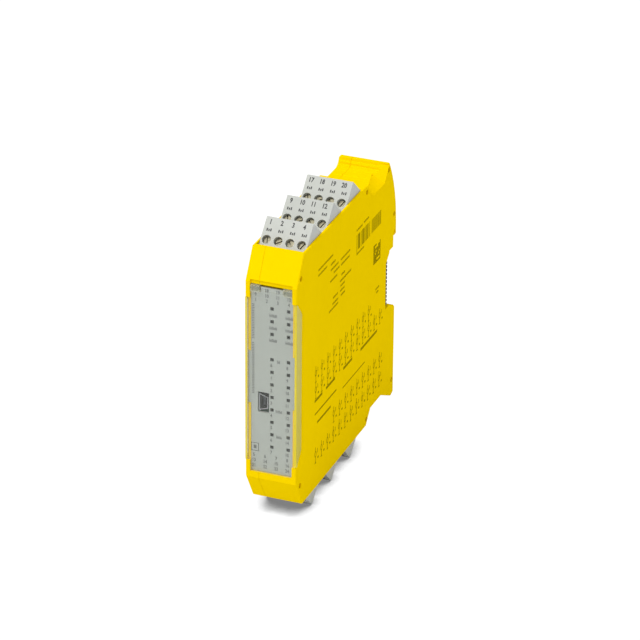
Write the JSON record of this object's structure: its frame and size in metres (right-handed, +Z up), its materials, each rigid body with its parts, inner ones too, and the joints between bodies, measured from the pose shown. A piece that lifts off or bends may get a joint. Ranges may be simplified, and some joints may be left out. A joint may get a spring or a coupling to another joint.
{
  "type": "configurable safety module",
  "caption": "Narrow rail-mounted safety controller with pluggable screw terminals above and below, a hinged clear cover over its lamps and a sprung foot catch.",
  "frame": {"origin": "middle of the rail seat: y = 0 is the plane the rail flanges rest on, z = 0 the middle of the 35 mm rail", "axes": "+X across the width to the right, -Y out of the front face, +Z up as mounted"},
  "size_m": [0.0226, 0.1145, 0.1292],
  "materials": {
    "yellow_housing": "fine matt moulded polyamide",
    "grey_plate": "matt printed film on plastic",
    "clear_cover": "clear polycarbonate, polished",
    "light_guide": "smoked clear plastic",
    "lamp_chip": "small moulded lamp chips",
    "circuit_board": "green solder resist",
    "black_component": "black moulding compound",
    "capacitor_can": "plain aluminium can",
    "dark_connector": "dark grey-green glass-filled plastic",
    "tinned_shell": "tinned sheet",
    "zinc_steel": "zinc plated steel",
    "spring_steel": "bright spring wire",
    "brass_contact": "tinned and gold flashed brass",
    "header_plastic": "grey glass-filled plastic",
    "grey_plug": "light grey moulded polyamide"
  },
  "bodies": {
    "housing": {"bus_connector": "dark_connector", "bus_contacts": "brass_contact", "capacitors": "capacitor_can", "display_board": "circuit_board", "foot_spring": "spring_steel", "header_bottom_1": "header_plastic", "header_bottom_2": "header_plastic", "header_bottom_3": "header_plastic", "header_pins_bottom_1": "brass_contact", "header_pins_bottom_2": "brass_contact", "header_pins_bottom_3": "brass_contact", "header_pins_top_1": "brass_contact", "header_pins_top_2": "brass_contact", "header_pins_top_3": "brass_contact", "header_top_1": "header_plastic", "header_top_2": "header_plastic", "header_top_3": "header_plastic", "indicator_plate": "grey_plate", "lamps": "lamp_chip", "light_guides": "light_guide", "main_board": "circuit_board", "main_shell": "yellow_housing", "output_drivers": "black_component", "processors": "black_component", "side_shell": "yellow_housing", "transformer": "black_component", "usb_socket": "tinned_shell"},
    "cover": {"front_cover": "clear_cover"},
    "catch": {"foot_catch": "zinc_steel"},
    "plug_top_1": {"plug_top_1_body": "grey_plug", "plug_top_1_clamps": "zinc_steel", "plug_top_1_contacts": "brass_contact", "plug_top_1_screws": "zinc_steel"},
    "plug_top_2": {"plug_top_2_body": "grey_plug", "plug_top_2_clamps": "zinc_steel", "plug_top_2_contacts": "brass_contact", "plug_top_2_screws": "zinc_steel"},
    "plug_top_3": {"plug_top_3_body": "grey_plug", "plug_top_3_clamps": "zinc_steel", "plug_top_3_contacts": "brass_contact", "plug_top_3_screws": "zinc_steel"},
    "plug_bottom_1": {"plug_bottom_1_body": "grey_plug", "plug_bottom_1_clamps": "zinc_steel", "plug_bottom_1_contacts": "brass_contact", "plug_bottom_1_screws": "zinc_steel"},
    "plug_bottom_2": {"plug_bottom_2_body": "grey_plug", "plug_bottom_2_clamps": "zinc_steel", "plug_bottom_2_contacts": "brass_contact", "plug_bottom_2_screws": "zinc_steel"},
    "plug_bottom_3": {"plug_bottom_3_body": "grey_plug", "plug_bottom_3_clamps": "zinc_steel", "plug_bottom_3_contacts": "brass_contact", "plug_bottom_3_screws": "zinc_steel"}
  },
  "joints": [
    {"name": "cover_hinge", "type": "hinge", "parent": "housing", "child": "cover", "pos_m": [0, -0.1103, 0.037], "axis": [-1, 0, 0], "range_deg": [0, 105]},
    {"name": "catch_slide", "type": "slide", "parent": "housing", "child": "catch", "axis": [0, 0, -1], "range_m": [0, 0.003], "stiffness_N_per_m": 600, "springref_m": -0.002, "deforming": ["foot_spring"]},
    {"name": "plug_top_1_pull", "type": "slide", "parent": "housing", "child": "plug_top_1", "axis": [0, 0, 1], "range_m": [0, 0.022]},
    {"name": "plug_top_2_pull", "type": "slide", "parent": "housing", "child": "plug_top_2", "axis": [0, 0, 1], "range_m": [0, 0.022]},
    {"name": "plug_top_3_pull", "type": "slide", "parent": "housing", "child": "plug_top_3", "axis": [0, 0, 1], "range_m": [0, 0.022]},
    {"name": "plug_bottom_1_pull", "type": "slide", "parent": "housing", "child": "plug_bottom_1", "axis": [0, 0, -1], "range_m": [0, 0.022]},
    {"name": "plug_bottom_2_pull", "type": "slide", "parent": "housing", "child": "plug_bottom_2", "axis": [0, 0, -1], "range_m": [0, 0.022]},
    {"name": "plug_bottom_3_pull", "type": "slide", "parent": "housing", "child": "plug_bottom_3", "axis": [0, 0, -1], "range_m": [0, 0.022]}
  ]
}
